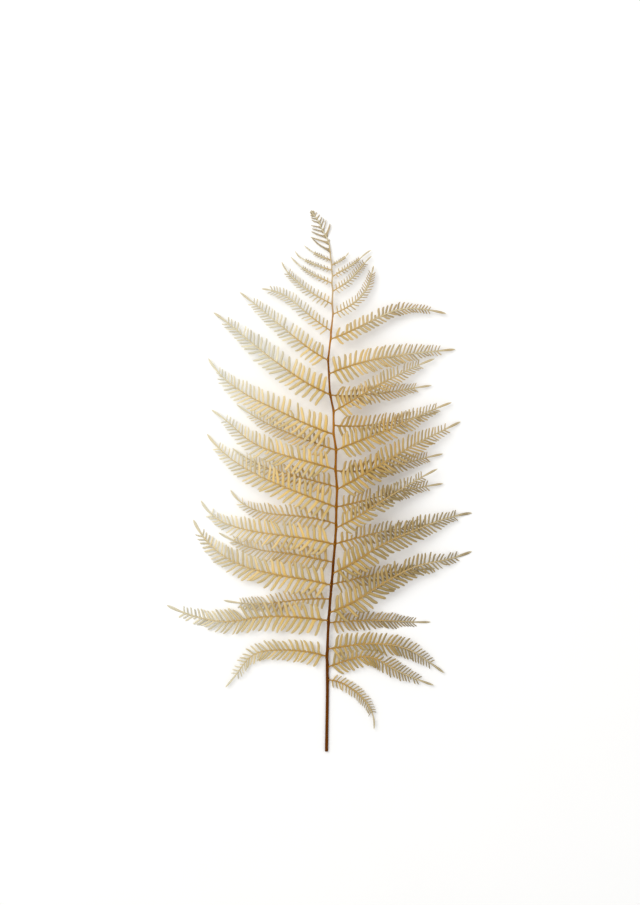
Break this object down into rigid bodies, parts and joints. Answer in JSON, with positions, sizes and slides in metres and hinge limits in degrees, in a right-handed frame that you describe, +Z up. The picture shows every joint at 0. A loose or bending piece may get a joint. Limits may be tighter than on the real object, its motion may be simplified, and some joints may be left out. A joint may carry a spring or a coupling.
{
  "type": "preserved fern frond",
  "caption": "Bleached, preserved bracken frond laid flat: a tapered brown stalk with arched side branches cut to their midribs into narrow cream leaflets, and a lobed tip.",
  "frame": {"origin": "centre of the bounding box in plan, on the surface that the frond lies on", "axes": "+Y along the frond from its cut end to its tip, +Z up from the surface, +X to the right as the picture shows the frond"},
  "size_m": [0.2548, 0.4512, 0.0222],
  "materials": {
    "stalk": "dry amber-brown stem, faintly glossy",
    "front_leaf": "matt bleached cream leaf, lets some light through",
    "under_leaf": "matt warm straw leaf, lets some light through",
    "tip_leaf": "matt pale straw leaf"
  },
  "bodies": {
    "root": {"frond_tip": "tip_leaf", "pinna_left_01": "front_leaf", "pinna_left_02": "front_leaf", "pinna_left_03": "front_leaf", "pinna_left_04": "front_leaf", "pinna_left_05": "front_leaf", "pinna_left_06": "front_leaf", "pinna_left_07": "front_leaf", "pinna_left_08": "front_leaf", "pinna_left_09": "front_leaf", "pinna_left_10": "front_leaf", "pinna_left_11": "front_leaf", "pinna_left_12": "front_leaf", "pinna_left_13": "front_leaf", "pinna_left_14": "front_leaf", "pinna_right_01": "front_leaf", "pinna_right_02": "front_leaf", "pinna_right_03": "front_leaf", "pinna_right_04": "front_leaf", "pinna_right_05": "front_leaf", "pinna_right_06": "front_leaf", "pinna_right_07": "front_leaf", "pinna_right_08": "front_leaf", "pinna_right_09": "front_leaf", "pinna_right_10": "front_leaf", "pinna_right_11": "front_leaf", "pinna_right_12": "front_leaf", "pinna_right_13": "front_leaf", "pinna_right_14": "front_leaf", "pinna_right_15": "front_leaf", "pinna_under_left_01": "under_leaf", "pinna_under_left_02": "under_leaf", "pinna_under_left_03": "under_leaf", "pinna_under_left_04": "under_leaf", "pinna_under_left_05": "under_leaf", "pinna_under_right_01": "under_leaf", "pinna_under_right_02": "under_leaf", "pinna_under_right_03": "under_leaf", "pinna_under_right_04": "under_leaf", "pinna_under_right_05": "under_leaf", "pinna_under_right_06": "under_leaf", "pinna_under_right_07": "under_leaf", "stalk": "stalk"}
  },
  "joints": []
}
